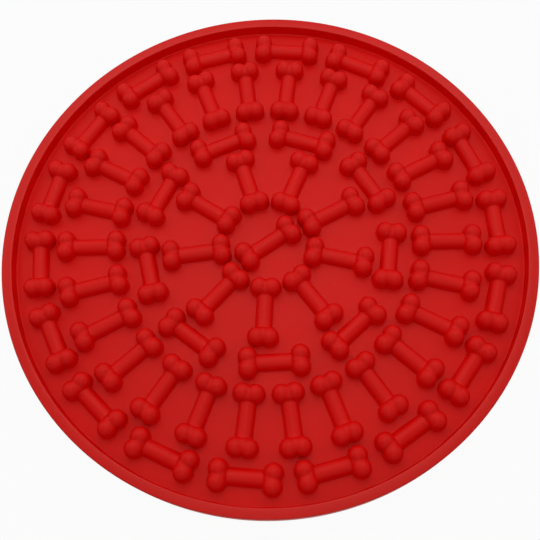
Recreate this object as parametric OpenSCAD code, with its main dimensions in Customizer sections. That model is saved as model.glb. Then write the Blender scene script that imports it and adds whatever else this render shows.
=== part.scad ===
// Round silicone lick mat: raised bones stand in four rings on a floor sheet inside a raised rim,
// and suction cups under the sheet hold it to a tiled wall, a tub or a floor.
// +Z is up. The origin is at the middle of the mat, on the surface that the cups' lips rest on.
// The rings of bones are stacked outward from the centre, and the rim closes round the last one,
// so the mat's diameter follows from the bones, the gaps between them and the rim.

/* [Bones] */
// Length of a bone over its knobs
bone_l = 26; // [22:0.5:32]
// Diameter of each of a bone's four knobs
knob_d = 6.9; // [5:0.1:9]
// Width over a pair of knobs
knob_pair_w = 11.5; // [10:0.1:14]
// Height of the knobs above the floor
knob_h = 6.1; // [4.6:0.1:8]
// Width of the shaft between the knobs
shaft_w = 6.2; // [4:0.1:8]
// Height of the shaft above the floor
shaft_h = 3.6; // [3:0.1:4.5]
// Diameter of the lower dome that joins a pair of knobs
bridge_d = 5.8; // [4:0.1:8]
// Height of that dome above the floor
bridge_h = 5.4; // [4.2:0.1:8]
// Shift of that dome from the knobs towards the shaft
bridge_in = 0.6; // [0:0.1:1.5]
// Radius of the fillet where a bone meets the floor
bone_foot_r = 0.3; // [0.1:0.05:0.4]

/* [Rings of bones] */
// Bones in the inner ring that point at the centre
inner_spokes = 9; // [5:1:12]
// Bones in the inner ring that lie across
inner_crosses = 9; // [5:1:12]
// Bones in the outer ring that point at the centre
outer_spokes = 26; // [12:1:30]
// Bones in the outer ring that lie across
outer_crosses = 18; // [10:1:20]
// Turn of the bone in the middle, in degrees
centre_turn = 37.2; // [-90:0.1:90]
// Turn of the inner crosses against the inner spokes, in degrees
inner_cross_turn = 5.6; // [-20:0.1:20]
// Turn of the outer spokes against the inner spokes, in degrees
outer_spoke_turn = -3.9; // [-20:0.1:20]
// Turn of the outer crosses against the inner spokes, in degrees
outer_cross_turn = -2.4; // [-20:0.1:20]
// Least gap between the middle bone and the inner spokes
centre_gap = 1.15; // [0.7:0.05:4]
// Least gap between the inner spokes and the inner crosses
inner_gap = 0.85; // [0.7:0.05:4]
// Least gap between the inner crosses and the outer spokes
middle_gap = 1.7; // [0.7:0.05:4]
// Least gap between the outer spokes and the outer crosses
outer_gap = 1.1; // [0.7:0.05:4]
// Gap between the outer crosses and the foot of the rim
rim_gap = 2.45; // [0.7:0.05:6]

/* [Rim] */
// Height of the rim above the floor
rim_h = 4.6; // [3:0.1:8]
// Width of the rim's top over its rounded edges
rim_w = 3.9; // [3:0.1:8]
// Lean of the rim's inner wall from upright, in degrees
rim_lean = 3; // [0:1:15]
// Radius of the rounded edges of the rim's top
rim_edge_r = 0.5; // [0.2:0.1:1]
// Radius of the fillet where the rim's inner wall meets the floor
rim_foot_r = 0.6; // [0.4:0.1:2]

/* [Sheet] */
// Thickness of the floor sheet
sheet_t = 2.2; // [1.2:0.1:3]
// Radius of the sheet's rounded lower edge
sheet_edge_r = 0.6; // [0.2:0.1:1]

/* [Suction cups] */
// Diameter of a cup over its lip
cup_d = 20; // [12:0.5:24]
// Height of a cup from its lip to the sheet
cup_h = 3.2; // [2.8:0.1:6]
// Diameter of the stem that joins a cup to the sheet
stem_d = 9; // [5:0.5:10]
// Height of the stem
stem_h = 0.9; // [0.5:0.1:1.2]
// Height of the lip's outer edge
lip_h = 0.6; // [0.4:0.1:1]
// Width of the flat ring under the lip
lip_w = 0.6; // [0.4:0.1:1.2]
// Depth of a cup's hollow in its middle
hollow_h = 1.8; // [1:0.1:1.9]
// Gap between the outer cups and the edge of the mat
cup_edge_gap = 9; // [4:0.5:15]

/* [Hidden] */
$fn = 96;
// Rings of cups round the middle one, and the cups that each ring has more than the ring inside it
cup_rings = 3;
ring_cups = 6;
// Steps in a rounded corner of the mat's profile, and in the small fillet at a bone's foot
arc_steps = 4;
foot_steps = 2;

// Places of a knob's middle along and across the bone
knob_x = (bone_l - knob_d) / 2;
knob_y = (knob_pair_w - knob_d) / 2;
// Radii on which the middles of a spoke's or a cross's inner and outer knobs lie
function spoke_reach(r, side) = norm([r + side * knob_x, knob_y]);
function cross_reach(r, side) = norm([r + side * knob_y, knob_x]);
// Smallest ring on which neighbouring spokes or crosses stay clear of each other
function spoke_crowd_r(n, gap) =
    knob_x + ((knob_d + gap) / 2 + knob_y * cos(180 / n)) / sin(180 / n);
function cross_crowd_r(n, gap) =
    knob_y + ((knob_d + gap) / 2 + knob_x * cos(180 / n)) / sin(180 / n);
// Ring radius at which the knobs keep their gap to the knobs of the ring inside it
function spoke_ring_r(inside, gap, n) =
    max(knob_x + sqrt(pow(inside + knob_d + gap, 2) - pow(knob_y, 2)), spoke_crowd_r(n, gap));
function cross_ring_r(inside, gap, n) =
    max(knob_y + sqrt(pow(inside + knob_d + gap, 2) - pow(knob_x, 2)), cross_crowd_r(n, gap));

// Ring radii, from the middle outward
inner_spoke_r = spoke_ring_r(norm([knob_x, knob_y]), centre_gap, inner_spokes);
inner_cross_r = cross_ring_r(spoke_reach(inner_spoke_r, 1), inner_gap, inner_crosses);
outer_spoke_r = spoke_ring_r(cross_reach(inner_cross_r, 1), middle_gap, outer_spokes);
outer_cross_r = cross_ring_r(spoke_reach(outer_spoke_r, 1), outer_gap, outer_crosses);

// The flat floor ends where the rim's foot fillet starts
floor_r = cross_reach(outer_cross_r, 1) + knob_d / 2 + rim_gap;
// The fillet touches the floor this far inside the corner of wall and floor
foot_l = rim_foot_r / tan(45 + rim_lean / 2);
wall_r = floor_r + foot_l;
rim_r = wall_r + rim_h * tan(rim_lean);
mat_r = rim_r + rim_w;
// Height of the floor above the surface that the mat rests on
floor_z = cup_h + sheet_t;
// Rings of cups are evenly spaced
cup_pitch = (mat_r - cup_edge_gap - cup_d / 2) / cup_rings;
// Sphere whose cap is the hollow of a cup
hollow_mouth_r = cup_d / 2 - lip_w;
hollow_r = (pow(hollow_mouth_r, 2) + pow(hollow_h, 2)) / (2 * hollow_h);

// Points on an arc round [x, y], from one angle to another
function arc(x, y, r, from, to, steps = arc_steps) =
    [for (i = [0 : steps]) let (a = from + (to - from) * i / steps) [x + r * cos(a), y + r * sin(a)]];

// Round sheet that carries everything, with its lower edge rounded
module floor_sheet() {
    color("firebrick")
    translate([0, 0, cup_h])
    rotate_extrude()
    polygon(concat(
        [[0, 0]],
        arc(mat_r - sheet_edge_r, sheet_edge_r, sheet_edge_r, -90, 0),
        [[mat_r, sheet_t], [0, sheet_t]]));
}

// Raised rim: upright outside, leaning inner wall with a fillet at its foot, rounded top edges
module rim() {
    color("red")
    translate([0, 0, floor_z])
    rotate_extrude()
    polygon(concat(
        [[mat_r, 0]],
        arc(mat_r - rim_edge_r, rim_h - rim_edge_r, rim_edge_r, 0, 90),
        arc(rim_r + rim_edge_r * tan(45 + rim_lean / 2), rim_h - rim_edge_r, rim_edge_r, 90, 180 - rim_lean),
        arc(floor_r, rim_foot_r, rim_foot_r, -rim_lean, -90)));
}

// Half of a bone's section: an upright side with a fillet at its foot under a round top
module half_section(w, h) {
    r = w / 2;
    round_z = h - r;
    polygon(concat(
        [[0, 0]],
        arc(r + bone_foot_r, bone_foot_r, bone_foot_r, 270, 180, foot_steps),
        [[r, round_z], [0, round_z]]));
    translate([0, round_z])
        intersection() {
            circle(r = r);
            square(r);
        }
}

// Round post with a domed top
module dome(d, h) {
    rotate_extrude() half_section(d, h);
}

// Half-round shaft along X
module shaft() {
    rotate([90, 0, 90])
    translate([0, 0, -knob_x])
    linear_extrude(2 * knob_x) {
        half_section(shaft_w, shaft_h);
        mirror([1, 0]) half_section(shaft_w, shaft_h);
    }
}

// Dog bone that lies along X on the floor: a pair of knobs at each end, joined by a lower dome
// that fills the notch between them on the shaft's side
module bone() {
    color("red")
    union() {
        shaft();
        for (x = [-1, 1]) {
            translate([x * (knob_x - bridge_in), 0, 0]) dome(bridge_d, bridge_h);
            for (y = [-knob_y, knob_y])
                translate([x * knob_x, y, 0]) dome(knob_d, knob_h);
        }
    }
}

// Ring of n bones; turn is the angle of the first from the spoke that points to -Y,
// and lie is the turn of each bone in its place: 0 along the radius, 90 across it
module bone_ring(n, r, turn, lie) {
    for (i = [0 : n - 1])
        rotate(turn - 90 + i * 360 / n)
        translate([r, 0, floor_z])
        rotate(lie)
        bone();
}

module centre_bone() {
    translate([0, 0, floor_z]) rotate(centre_turn) bone();
}

module inner_spoke_bones() {
    bone_ring(inner_spokes, inner_spoke_r, 0, 0);
}

module inner_cross_bones() {
    bone_ring(inner_crosses, inner_cross_r, inner_cross_turn, 90);
}

module outer_spoke_bones() {
    bone_ring(outer_spokes, outer_spoke_r, outer_spoke_turn, 0);
}

module outer_cross_bones() {
    bone_ring(outer_crosses, outer_cross_r, outer_cross_turn, 90);
}

// Suction cup: a short stem that flares to a thin lip round a shallow hollow
module cup() {
    cup_r = cup_d / 2;
    color("darkred")
    difference() {
        rotate_extrude()
        polygon([[0, 0], [cup_r, 0], [cup_r, lip_h], [stem_d / 2, cup_h - stem_h],
            [stem_d / 2, cup_h], [0, cup_h]]);
        translate([0, 0, hollow_h - hollow_r]) sphere(r = hollow_r);
    }
}

// Ring of cups, counted from the middle
module cup_ring(ring) {
    n = ring_cups * ring;
    for (i = [0 : n - 1])
        rotate(i * 360 / n)
        translate([ring * cup_pitch, 0, 0])
        cup();
}

module centre_cup() {
    cup();
}

module inner_cups() {
    cup_ring(1);
}

module middle_cups() {
    cup_ring(2);
}

module outer_cups() {
    cup_ring(3);
}

floor_sheet();
rim();
centre_bone();
inner_spoke_bones();
inner_cross_bones();
outer_spoke_bones();
outer_cross_bones();
centre_cup();
inner_cups();
middle_cups();
outer_cups();
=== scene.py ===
# Round silicone lick mat: one red moulding with a flat floor, a raised rim, four rings of raised
# bones round a middle one, and suction cups underneath. Metres, +Z up, the cups' lips on z = 0.
import math

import bmesh
import bpy
from mathutils import Matrix, Vector


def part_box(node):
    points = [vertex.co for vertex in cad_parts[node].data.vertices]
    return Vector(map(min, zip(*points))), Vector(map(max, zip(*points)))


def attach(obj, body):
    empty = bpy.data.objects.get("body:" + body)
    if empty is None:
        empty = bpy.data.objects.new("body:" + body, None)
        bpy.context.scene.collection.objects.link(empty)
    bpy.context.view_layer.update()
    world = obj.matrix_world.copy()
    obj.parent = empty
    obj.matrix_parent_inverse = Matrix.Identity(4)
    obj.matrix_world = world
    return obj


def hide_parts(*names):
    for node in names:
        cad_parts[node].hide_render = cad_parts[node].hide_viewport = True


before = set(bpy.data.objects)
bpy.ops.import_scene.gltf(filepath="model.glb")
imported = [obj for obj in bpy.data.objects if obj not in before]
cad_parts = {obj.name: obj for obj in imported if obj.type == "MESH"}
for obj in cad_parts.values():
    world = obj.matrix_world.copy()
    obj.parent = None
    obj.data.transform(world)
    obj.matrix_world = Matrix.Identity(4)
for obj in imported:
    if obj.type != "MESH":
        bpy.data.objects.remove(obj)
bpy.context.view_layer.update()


# Floor sheet
# The round sheet that carries the bones, the rim and the cups. It is the web of the moulding, and
# its top, the floor of the dish, has the fine matt grain of the blasted mould. Its lower edge is
# rounded.
sheet_low, sheet_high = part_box("floor_sheet")
mat_r = sheet_high.x
floor_z = sheet_high.z
sheet_edge_r = 0.0006
sheet_edge_steps = 4
round_steps = 256
weld = 1e-6
ring_reach = 2e-5
round_profile = 0.5
same_material = -1
sharp_angle = math.radians(40.0)

silicone_red = ((0.72, 0.0, 0.0, 1.0), (0.76, 0.0, 0.0, 1.0))
warm_shine = (1.0, 1.0, 0.85, 1.0)
cloud_scale = 38.0
cloud_detail = 5.0
cloud_edges = (0.35, 0.65)
patch_scale = 160.0
patch_detail = 4.0
grain_scale = 2600.0
grain_detail = 3.0
grain_h = 0.00006
matt_shine = 0.2
matt_roughness = (0.38, 0.52)
matt_grain = 0.18


def revolve(bm, profile, steps):
    """Turns an open or closed run of (radius, height) points round the Z axis into a skin."""
    corners = [bm.verts.new((r, 0.0, z)) for r, z in profile]
    edges = [bm.edges.new(pair) for pair in zip(corners, corners[1:])]
    bmesh.ops.spin(
        bm,
        geom=corners + edges,
        cent=(0.0, 0.0, 0.0),
        axis=(0.0, 0.0, 1.0),
        angle=math.tau,
        steps=steps,
        use_merge=True,
    )
    bmesh.ops.remove_doubles(bm, verts=bm.verts, dist=weld)
    bmesh.ops.recalc_face_normals(bm, faces=bm.faces)


def round_ring(bm, radius, height, size, steps):
    """Rounds the ring edge that lies at that radius and height."""

    def lies_there(vert):
        off = math.hypot(vert.co.x, vert.co.y) - radius
        return math.hypot(off, vert.co.z - height) < ring_reach

    ring = [e for e in bm.edges if all(lies_there(v) for v in e.verts)]
    bmesh.ops.bevel(
        bm,
        geom=ring,
        offset=size,
        offset_type="OFFSET",
        affect="EDGES",
        segments=steps,
        profile=round_profile,
        material=same_material,
    )


def silicone(name, pigment, shine, roughness, grain_strength):
    """Moulded silicone with clouds in its pigment, patches in its shine and the mould's grain."""
    material = bpy.data.materials.new(name)
    material.use_nodes = True
    nodes = material.node_tree.nodes
    links = material.node_tree.links
    skin = nodes["Principled BSDF"]
    skin.inputs["Specular IOR Level"].default_value = shine
    skin.inputs["Specular Tint"].default_value = warm_shine
    place = nodes.new("ShaderNodeTexCoord")

    def noise(scale, detail):
        made = nodes.new("ShaderNodeTexNoise")
        made.inputs["Scale"].default_value = scale
        made.inputs["Detail"].default_value = detail
        links.new(place.outputs["Object"], made.inputs["Vector"])
        return made.outputs["Fac"]

    red = nodes.new("ShaderNodeValToRGB")
    deep, light = red.color_ramp.elements
    deep.position, light.position = cloud_edges
    deep.color, light.color = pigment
    links.new(noise(cloud_scale, cloud_detail), red.inputs["Fac"])
    links.new(red.outputs["Color"], skin.inputs["Base Color"])

    gloss = nodes.new("ShaderNodeMapRange")
    gloss.inputs["To Min"].default_value, gloss.inputs["To Max"].default_value = roughness
    links.new(noise(patch_scale, patch_detail), gloss.inputs["Value"])
    links.new(gloss.outputs["Result"], skin.inputs["Roughness"])

    bump = nodes.new("ShaderNodeBump")
    bump.inputs["Strength"].default_value = grain_strength
    bump.inputs["Distance"].default_value = grain_h
    links.new(noise(grain_scale, grain_detail), bump.inputs["Height"])
    links.new(bump.outputs["Normal"], skin.inputs["Normal"])
    return material


matt_silicone = silicone("matt_silicone", silicone_red, matt_shine, matt_roughness, matt_grain)


def add_piece(name, bm, node, materials=(matt_silicone,)):
    """Makes the shape a smooth piece of the mat that stands for a CAD node."""
    mesh = bpy.data.meshes.new(name)
    bm.to_mesh(mesh)
    bm.free()
    mesh.shade_smooth()
    mesh.set_sharp_from_angle(angle=sharp_angle)
    for material in materials:
        mesh.materials.append(material)
    piece = bpy.data.objects.new(name, mesh)
    bpy.context.scene.collection.objects.link(piece)
    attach(piece, "root")
    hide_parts(node)


bm = bmesh.new()
sheet_section = [(0.0, sheet_low.z), (mat_r, sheet_low.z), (mat_r, floor_z), (0.0, floor_z)]
revolve(bm, sheet_section, round_steps)
round_ring(bm, mat_r, sheet_low.z, sheet_edge_r, sheet_edge_steps)
add_piece("floor_sheet_skin", bm, "floor_sheet")


# Rim
# The raised edge that keeps the food in, moulded with the sheet: upright outside, flat on top with
# rounded edges, and leaning inside with a fillet that runs out on the floor. Its top is a little
# shinier, where the mould is polished, and a deeper red is painted on it as shade.
# The rim top's red is the sheet's red made a little deeper: painted shade, not a different pigment.
rim_painted_shade_red = ((0.685, 0.0, 0.0, 1.0), (0.72, 0.0, 0.0, 1.0))
rim_top_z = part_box("rim")[1].z
rim_w = 0.0039
rim_lean = math.radians(3.0)
rim_edge_r = 0.0005
rim_edge_steps = 5
rim_foot_r = 0.0006
rim_foot_steps = 8
rim_shine = 0.31
rim_roughness = (0.3, 0.4)
rim_grain = 0.12
rim_top_r = mat_r - rim_w
rim_wall_r = rim_top_r - (rim_top_z - floor_z) * math.tan(rim_lean)
rim_foot_in = rim_foot_r / math.tan(math.pi / 4 + rim_lean / 2)

foot = []
for i in range(rim_foot_steps + 1):
    fall = math.pi / 2 - (math.pi / 2 - rim_lean) * i / rim_foot_steps
    foot_r = rim_wall_r - rim_foot_in + rim_foot_r * math.cos(fall)
    foot.append((foot_r, floor_z + rim_foot_r - rim_foot_r * math.sin(fall)))
rim_section = (
    [(mat_r, floor_z)] + foot + [(rim_top_r, rim_top_z), (mat_r, rim_top_z), (mat_r, floor_z)]
)
bm = bmesh.new()
revolve(bm, rim_section, round_steps)
round_ring(bm, rim_top_r, rim_top_z, rim_edge_r, rim_edge_steps)
round_ring(bm, mat_r, rim_top_z, rim_edge_r, rim_edge_steps)
# The top faces take the shinier material that carries the painted shade; the rest keep the plain
# silicone.
for face in bm.faces:
    face.material_index = int(face.calc_center_median().z > rim_top_z - rim_edge_r)
rim_top_shine_and_painted_shade = silicone("rim_top_shine_and_painted_shade", rim_painted_shade_red, rim_shine, rim_roughness, rim_grain)
add_piece("rim_skin", bm, "rim", (matt_silicone, rim_top_shine_and_painted_shade))


# Bones
# The raised dog bones that hold the food, moulded in one with the sheet. Each has a pair of domed
# knobs at either end of a half-round shaft, and all its creases and its foot are softened, as
# moulded silicone is.
bone_l = 0.026
knob_d = 0.0069
knob_pair_w = 0.0115
knob_h = 0.0061
bridge_d = 0.0058
bridge_h = 0.0054
bridge_in = 0.0006
shaft_w = 0.0062
shaft_h = 0.0036
bone_foot_r = 0.0003
bone_foot_steps = 3
bone_grain = 0.00022
bone_smoothing = 9
bone_softness = 0.5
bone_thinning = 0.12
dome_steps = 48
below = 0.002
along = 0.0
across = math.pi / 2
knob_x = (bone_l - knob_d) / 2
knob_y = (knob_pair_w - knob_d) / 2


def add_dome(bm, x, y, d, h):
    """Adds a round post with a domed top, reaching below the floor."""
    dome_z = h - d / 2
    bmesh.ops.create_uvsphere(
        bm,
        u_segments=dome_steps,
        v_segments=dome_steps // 2,
        radius=d / 2,
        matrix=Matrix.Translation((x, y, dome_z)),
    )
    post_h = dome_z + below
    bmesh.ops.create_cone(
        bm,
        cap_ends=True,
        segments=dome_steps,
        radius1=d / 2,
        radius2=d / 2,
        depth=post_h,
        matrix=Matrix.Translation((x, y, dome_z - post_h / 2)),
    )


def add_shaft(bm):
    """Adds the half-round shaft along X, reaching below the floor."""
    round_z = shaft_h - shaft_w / 2
    along_x = Matrix.Translation((0.0, 0.0, round_z)) @ Matrix.Rotation(math.pi / 2, 4, "Y")
    bmesh.ops.create_cone(
        bm,
        cap_ends=True,
        segments=dome_steps,
        radius1=shaft_w / 2,
        radius2=shaft_w / 2,
        depth=2 * knob_x,
        matrix=along_x,
    )
    side_h = round_z + below
    place = Matrix.Translation((0.0, 0.0, round_z - side_h / 2))
    stretch = Matrix.Diagonal((2 * knob_x, shaft_w, side_h, 1.0))
    bmesh.ops.create_cube(bm, size=1.0, matrix=place @ stretch)


def blended(bm):
    """The same shape as one skin, with its creases softened."""
    mesh = bpy.data.meshes.new("bone_core")
    bm.to_mesh(mesh)
    core = bpy.data.objects.new("bone_core", mesh)
    bpy.context.scene.collection.objects.link(core)
    skin = core.modifiers.new("one_skin", "REMESH")
    skin.mode = "VOXEL"
    skin.voxel_size = bone_grain
    soften = core.modifiers.new("soften", "SMOOTH")
    soften.factor = bone_softness
    soften.iterations = bone_smoothing
    thin = core.modifiers.new("thin_out", "DECIMATE")
    thin.ratio = bone_thinning
    bpy.context.view_layer.update()
    made = core.evaluated_get(bpy.context.evaluated_depsgraph_get())
    bm.clear()
    bm.from_mesh(made.to_mesh())
    bpy.data.objects.remove(core)
    bpy.data.meshes.remove(mesh)


def add_foot(bm):
    """Cuts the shape off above the floor, flares a fillet out from there and closes the bottom."""
    bmesh.ops.bisect_plane(
        bm,
        geom=bm.verts[:] + bm.edges[:] + bm.faces[:],
        plane_co=(0.0, 0.0, bone_foot_r),
        plane_no=(0.0, 0.0, 1.0),
        clear_inner=True,
    )
    bmesh.ops.recalc_face_normals(bm, faces=bm.faces)
    cut = [e for e in bm.edges if e.is_boundary]
    start, outward = {}, {}
    for v in {v for e in cut for v in e.verts}:
        start[v] = v.co.copy()
        outward[v] = Vector((v.normal.x, v.normal.y, 0.0)).normalized()
    for step in range(1, bone_foot_steps + 1):
        turn = math.pi / 2 * step / bone_foot_steps
        flare = bone_foot_r * (1 - math.cos(turn))
        made = bmesh.ops.extrude_edge_only(bm, edges=cut)["geom"]
        next_start, next_outward = {}, {}
        for v in [g for g in made if isinstance(g, bmesh.types.BMVert)]:
            known = [e.other_vert(v) for e in v.link_edges if e.other_vert(v) in outward]
            parent = min(known, key=lambda p: (p.co - v.co).length)
            next_start[v] = start[parent]
            next_outward[v] = outward[parent]
            v.co = start[parent] + outward[parent] * flare
            v.co.z = bone_foot_r * (1 - math.sin(turn))
        start, outward = next_start, next_outward
        new_edges = [g for g in made if isinstance(g, bmesh.types.BMEdge)]
        cut = [e for e in new_edges if all(v in outward for v in e.verts)]
    bmesh.ops.holes_fill(bm, edges=cut, sides=0)
    bmesh.ops.recalc_face_normals(bm, faces=bm.faces)


bm = bmesh.new()
add_shaft(bm)
for x in (-1, 1):
    add_dome(bm, x * (knob_x - bridge_in), 0.0, bridge_d, bridge_h)
    for y in (-knob_y, knob_y):
        add_dome(bm, x * knob_x, y, knob_d, knob_h)
blended(bm)
add_foot(bm)
bone_mesh = bpy.data.meshes.new("bone")
bm.to_mesh(bone_mesh)
bm.free()


def spoke_ring_r(inside, gap):
    """Radius of a ring of spokes whose inner knobs keep a gap to the knobs inside them."""
    return knob_x + math.sqrt((inside + knob_d + gap) ** 2 - knob_y**2)


def cross_ring_r(inside, gap):
    """Radius of a ring of crosses whose inner knobs keep a gap to the knobs inside them."""
    return knob_y + math.sqrt((inside + knob_d + gap) ** 2 - knob_x**2)


def add_bones(name, node, count, ring_r, turn, lie):
    """Sets a ring of bones: turn is the first one's from the front, lie its angle to the radius."""
    bm = bmesh.new()
    for i in range(count):
        angle = turn - math.pi / 2 + i * math.tau / count
        place = (
            Matrix.Rotation(angle, 4, "Z")
            @ Matrix.Translation((ring_r, 0.0, floor_z))
            @ Matrix.Rotation(lie, 4, "Z")
        )
        before = len(bm.verts)
        bm.from_mesh(bone_mesh)
        bm.verts.ensure_lookup_table()
        bmesh.ops.transform(bm, matrix=place, verts=bm.verts[before:])
    add_piece(name, bm, node)


# Middle bone
# The single bone in the middle of the floor, moulded in the same red silicone as the sheet. It lies
# at a slant between the spokes round it.
centre_lie = math.radians(37.2)
add_bones(
    "centre_bone_skin",
    "centre_bone",
    count=1,
    ring_r=0.0,
    turn=math.pi / 2,
    lie=centre_lie,
)


# Inner rings of bones
# Nine bones point at the centre and nine lie across outside them, all from the one mould and of
# the same silicone.
inner_spokes = 9
inner_spoke_turn = 0.0
inner_crosses = 9
inner_cross_turn = math.radians(5.6)
centre_gap = 0.00115
inner_gap = 0.00085
inner_spoke_r = spoke_ring_r(math.hypot(knob_x, knob_y), centre_gap)
inner_cross_r = cross_ring_r(math.hypot(inner_spoke_r + knob_x, knob_y), inner_gap)
add_bones(
    "inner_spoke_bones_skin",
    "inner_spoke_bones",
    inner_spokes,
    inner_spoke_r,
    inner_spoke_turn,
    along,
)
add_bones(
    "inner_cross_bones_skin",
    "inner_cross_bones",
    inner_crosses,
    inner_cross_r,
    inner_cross_turn,
    across,
)


# Outer rings of bones
# Twenty-six bones point at the centre and eighteen lie across between them and the rim, moulded
# as the inner ones are.
outer_spokes = 26
outer_spoke_turn = math.radians(-3.9)
outer_crosses = 18
outer_cross_turn = math.radians(-2.4)
middle_gap = 0.0017
outer_gap = 0.0011
outer_spoke_r = spoke_ring_r(math.hypot(inner_cross_r + knob_y, knob_x), middle_gap)
outer_cross_r = cross_ring_r(math.hypot(outer_spoke_r + knob_x, knob_y), outer_gap)
add_bones(
    "outer_spoke_bones_skin",
    "outer_spoke_bones",
    outer_spokes,
    outer_spoke_r,
    outer_spoke_turn,
    along,
)
add_bones(
    "outer_cross_bones_skin",
    "outer_cross_bones",
    outer_crosses,
    outer_cross_r,
    outer_cross_turn,
    across,
)


# Suction cups
# Thin flared cups under the sheet that hold the mat to a smooth wall or floor. Each is moulded on
# a short stem with a fillet at its root. Its lip is thin and its skin smooth, so that it seals.
cup_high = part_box("centre_cup")[1]
cup_r = cup_high.x
cup_z = cup_high.z
stem_r = 0.0045
stem_h = 0.0009
stem_fillet_r = 0.0006
stem_fillet_steps = 4
lip_h = 0.0006
lip_w = 0.0006
lip_edge_r = 0.00024
lip_edge_steps = 3
hollow_h = 0.0018
hollow_steps = 12
cup_steps = 64
ring_cups = 6
cup_shine = 0.45
cup_roughness = (0.24, 0.38)
cup_grain = 0.04
cup_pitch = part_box("inner_cups")[1].x - cup_r
hollow_mouth_r = cup_r - lip_w
hollow_r = (hollow_mouth_r**2 + hollow_h**2) / (2 * hollow_h)
hollow_half = math.asin(hollow_mouth_r / hollow_r)
cup_silicone = silicone("cup_silicone", silicone_red, cup_shine, cup_roughness, cup_grain)


def add_cup(bm, x, y):
    """Adds a cup whose axis stands at x, y."""
    hollow = []
    for i in range(hollow_steps + 1):
        turn = hollow_half * i / hollow_steps
        hollow.append((hollow_r * math.sin(turn), hollow_h - hollow_r * (1 - math.cos(turn))))
    outside = [
        (cup_r, 0.0),
        (cup_r, lip_h),
        (stem_r, cup_z - stem_h),
        (stem_r, cup_z),
        (0.0, cup_z),
    ]
    cup = bmesh.new()
    revolve(cup, hollow + outside, cup_steps)
    round_ring(cup, cup_r, lip_h, lip_edge_r, lip_edge_steps)
    round_ring(cup, stem_r, cup_z - stem_h, stem_fillet_r, stem_fillet_steps)
    bmesh.ops.translate(cup, vec=(x, y, 0.0), verts=cup.verts)
    mesh = bpy.data.meshes.new("cup")
    cup.to_mesh(mesh)
    cup.free()
    bm.from_mesh(mesh)
    bpy.data.meshes.remove(mesh)


for ring, node in enumerate(("centre_cup", "inner_cups", "middle_cups", "outer_cups")):
    bm = bmesh.new()
    cups = max(1, ring_cups * ring)
    for i in range(cups):
        angle = i * math.tau / cups
        add_cup(bm, ring * cup_pitch * math.cos(angle), ring * cup_pitch * math.sin(angle))
    add_piece(node + "_skin", bm, node, (cup_silicone,))


# Stage
# A plain white floor that keeps the mat's soft shadow, and white beyond it. Soft boxes stand close
# behind the mat and at its sides, and one stands far off in front, as in a small product studio.
floor_size = 6.0
paper_white = (0.5, 0.5, 0.5, 1.0)
paper_roughness = 0.9
paper_glow = 0.95
studio_white = (1.0, 1.0, 1.0, 1.0)
studio_fill = 0.28
studio_seen = 0.97
box_near = 0.5
box_far = 2.4
box_share = 2 / 3


def seen_by(nodes, links, kinds):
    """1 for the kinds of ray that a surface is seen by, and 0 for those that only carry light."""
    ray = nodes.new("ShaderNodeLightPath")
    seen = ray.outputs[kinds[0]]
    for kind in kinds[1:]:
        either = nodes.new("ShaderNodeMath")
        either.operation = "MAXIMUM"
        links.new(seen, either.inputs[0])
        links.new(ray.outputs[kind], either.inputs[1])
        seen = either.outputs["Value"]
    return seen


bpy.ops.mesh.primitive_plane_add(size=floor_size)
floor = bpy.context.object
floor.name = "stage_floor"
paper = bpy.data.materials.new("white_paper")
paper.use_nodes = True
nodes = paper.node_tree.nodes
links = paper.node_tree.links
matt = nodes["Principled BSDF"]
matt.inputs["Base Color"].default_value = paper_white
matt.inputs["Roughness"].default_value = paper_roughness
glow = nodes.new("ShaderNodeEmission")
glow.inputs["Color"].default_value = studio_white
seen = seen_by(nodes, links, ("Is Camera Ray", "Is Glossy Ray", "Is Transmission Ray"))
share = nodes.new("ShaderNodeMath")
share.operation = "MULTIPLY"
share.inputs[1].default_value = paper_glow
mix = nodes.new("ShaderNodeMixShader")
links.new(seen, share.inputs[0])
links.new(share.outputs["Value"], mix.inputs["Fac"])
links.new(matt.outputs["BSDF"], mix.inputs[1])
links.new(glow.outputs["Emission"], mix.inputs[2])
links.new(mix.outputs["Shader"], nodes["Material Output"].inputs["Surface"])
floor.data.materials.append(paper)

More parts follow.
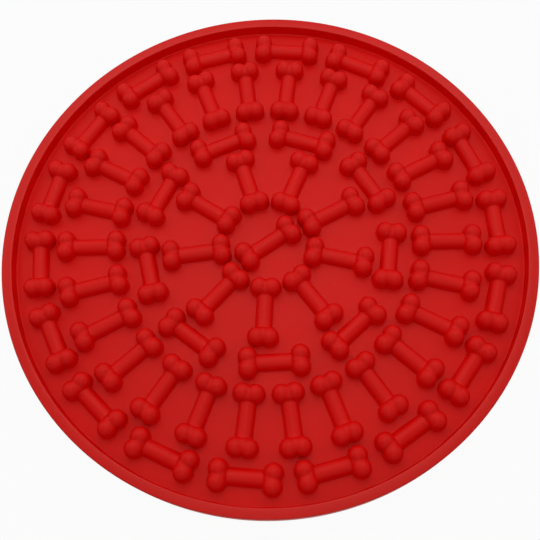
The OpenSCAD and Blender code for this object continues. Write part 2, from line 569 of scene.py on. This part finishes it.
world = bpy.data.worlds.new("studio")
bpy.context.scene.world = world
world.use_nodes = True
nodes = world.node_tree.nodes
links = world.node_tree.links
sky = nodes["Background"]
sky.inputs["Color"].default_value = studio_white
level = nodes.new("ShaderNodeMapRange")
level.inputs["To Min"].default_value = studio_fill
level.inputs["To Max"].default_value = studio_seen
seen = seen_by(nodes, links, ("Is Camera Ray", "Is Transmission Ray"))
links.new(seen, level.inputs["Value"])
links.new(level.outputs["Result"], sky.inputs["Strength"])


def soft_box(name, turn, rise, distance, power):
    """A square soft box that faces the mat, turn degrees round from the right and rise up."""
    lamp = bpy.data.lights.new(name, "AREA")
    lamp.shape = "SQUARE"
    lamp.size = distance * box_share
    lamp.energy = power
    box = bpy.data.objects.new(name, lamp)
    turned = Matrix.Rotation(math.radians(turn), 3, "Z")
    risen = Matrix.Rotation(math.radians(-rise), 3, "Y")
    box.location = turned @ risen @ Vector((distance, 0.0, 0.0))
    box.rotation_mode = "QUATERNION"
    box.rotation_quaternion = (-box.location).to_track_quat("-Z", "Y")
    bpy.context.scene.collection.objects.link(box)


soft_box("top_box", turn=90.0, rise=85.0, distance=box_near, power=0.2)
soft_box("back_high_box", turn=95.0, rise=65.0, distance=box_near, power=0.42)
soft_box("back_low_box", turn=95.0, rise=20.0, distance=box_near, power=0.145)
soft_box("back_right_box", turn=50.0, rise=35.0, distance=box_near, power=0.24)
soft_box("back_left_box", turn=135.0, rise=35.0, distance=box_near, power=0.22)
soft_box("right_box", turn=5.0, rise=35.0, distance=box_near, power=0.165)
soft_box("left_box", turn=175.0, rise=35.0, distance=box_near, power=0.23)
soft_box("front_box", turn=-85.0, rise=62.0, distance=box_far, power=5.4)


# Camera
# It stands close over the near side of the mat and looks down at it, turned a few degrees about
# its axis.
camera_place = Vector((0.01554, -0.1153, 0.288))
camera_target = Vector((0.00123, -0.01014, 0.0054))
camera_roll = math.radians(-5.365)
camera_lens = 53.51
camera_sensor = 36.0
camera_near = 0.01
lens = bpy.data.cameras.new("camera")
lens.lens = camera_lens
lens.sensor_width = camera_sensor
lens.clip_start = camera_near
camera = bpy.data.objects.new("camera", lens)
camera.location = camera_place
look = (camera_target - camera_place).to_track_quat("-Z", "Y").to_matrix()
camera.rotation_euler = (look @ Matrix.Rotation(camera_roll, 3, "Z")).to_euler()
bpy.context.scene.collection.objects.link(camera)
bpy.context.scene.camera = camera
bpy.context.scene.view_settings.view_transform = "Standard"
